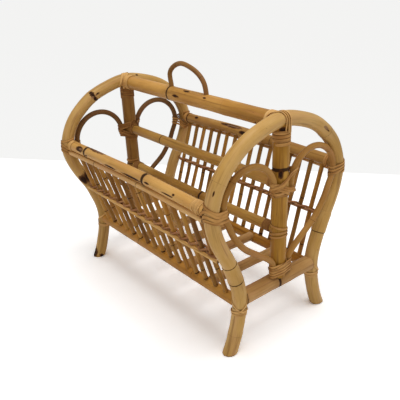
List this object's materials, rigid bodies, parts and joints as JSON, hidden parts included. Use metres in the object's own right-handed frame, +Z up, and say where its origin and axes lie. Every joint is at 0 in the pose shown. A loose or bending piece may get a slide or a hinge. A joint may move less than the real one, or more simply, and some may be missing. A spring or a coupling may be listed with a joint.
{
  "type": "magazine basket",
  "caption": "Rattan magazine basket: two bent-cane end hoops on their own feet, a centre rail with a small handle, sloping slatted sides, heart-shaped loops and bound joints.",
  "frame": {"origin": "on the floor, under the middle of the basket", "axes": "+X along the basket, +Y from the front side to the back side, +Z up"},
  "size_m": [0.4288, 0.29, 0.3974],
  "materials": {
    "pale_cane": "thick honey-coloured rattan pole, skin on, thin clear lacquer, satin",
    "golden_cane": "darker golden rattan pole, skin on, thin clear lacquer, satin",
    "thin_cane": "thin bent cane, amber brown, satin",
    "slat_cane": "thin straight cane and twisted weaving strands, brown, satin",
    "peeled_cane": "flat strips of peeled cane, pinkish tan, matt with a slight skin sheen",
    "nail_steel": "plain wire nail, dull"
  },
  "bodies": {
    "root": {"right_end_hoop": "pale_cane", "right_centre_post": "golden_cane", "right_bottom_end_rail": "golden_cane", "right_crown_binding": "peeled_cane", "right_middle_binding": "peeled_cane", "right_lower_binding": "peeled_cane", "right_post_foot_binding": "peeled_cane", "right_front_loop": "thin_cane", "right_front_shoulder_binding": "peeled_cane", "right_front_leg_binding": "peeled_cane", "right_front_upper_rail_nail": "nail_steel", "right_front_bottom_rail_nail": "nail_steel", "right_front_end_rail_nail": "nail_steel", "right_back_loop": "thin_cane", "right_back_shoulder_binding": "peeled_cane", "right_back_leg_binding": "peeled_cane", "right_back_upper_rail_nail": "nail_steel", "right_back_bottom_rail_nail": "nail_steel", "right_back_end_rail_nail": "nail_steel", "right_top_rail_nail": "nail_steel", "right_post_nail": "nail_steel", "left_end_hoop": "pale_cane", "left_centre_post": "golden_cane", "left_bottom_end_rail": "golden_cane", "left_crown_binding": "peeled_cane", "left_middle_binding": "peeled_cane", "left_lower_binding": "peeled_cane", "left_post_foot_binding": "peeled_cane", "left_front_loop": "thin_cane", "left_front_shoulder_binding": "peeled_cane", "left_front_leg_binding": "peeled_cane", "left_front_upper_rail_nail": "nail_steel", "left_front_bottom_rail_nail": "nail_steel", "left_front_end_rail_nail": "nail_steel", "left_back_loop": "thin_cane", "left_back_shoulder_binding": "peeled_cane", "left_back_leg_binding": "peeled_cane", "left_back_upper_rail_nail": "nail_steel", "left_back_bottom_rail_nail": "nail_steel", "left_back_end_rail_nail": "nail_steel", "left_top_rail_nail": "nail_steel", "left_post_nail": "nail_steel", "front_upper_rail": "pale_cane", "front_bottom_rail": "golden_cane", "front_edge_cane": "thin_cane", "front_woven_side": "slat_cane", "back_upper_rail": "pale_cane", "back_bottom_rail": "golden_cane", "back_edge_cane": "thin_cane", "back_woven_side": "slat_cane", "top_rail": "pale_cane", "middle_rail": "golden_cane", "lower_centre_rail": "golden_cane", "handle_loop": "thin_cane", "floor_crossbar_1": "golden_cane", "floor_crossbar_2": "golden_cane", "floor_crossbar_3": "golden_cane", "floor_crossbar_4": "golden_cane", "floor_crossbar_5": "golden_cane"}
  },
  "joints": []
}
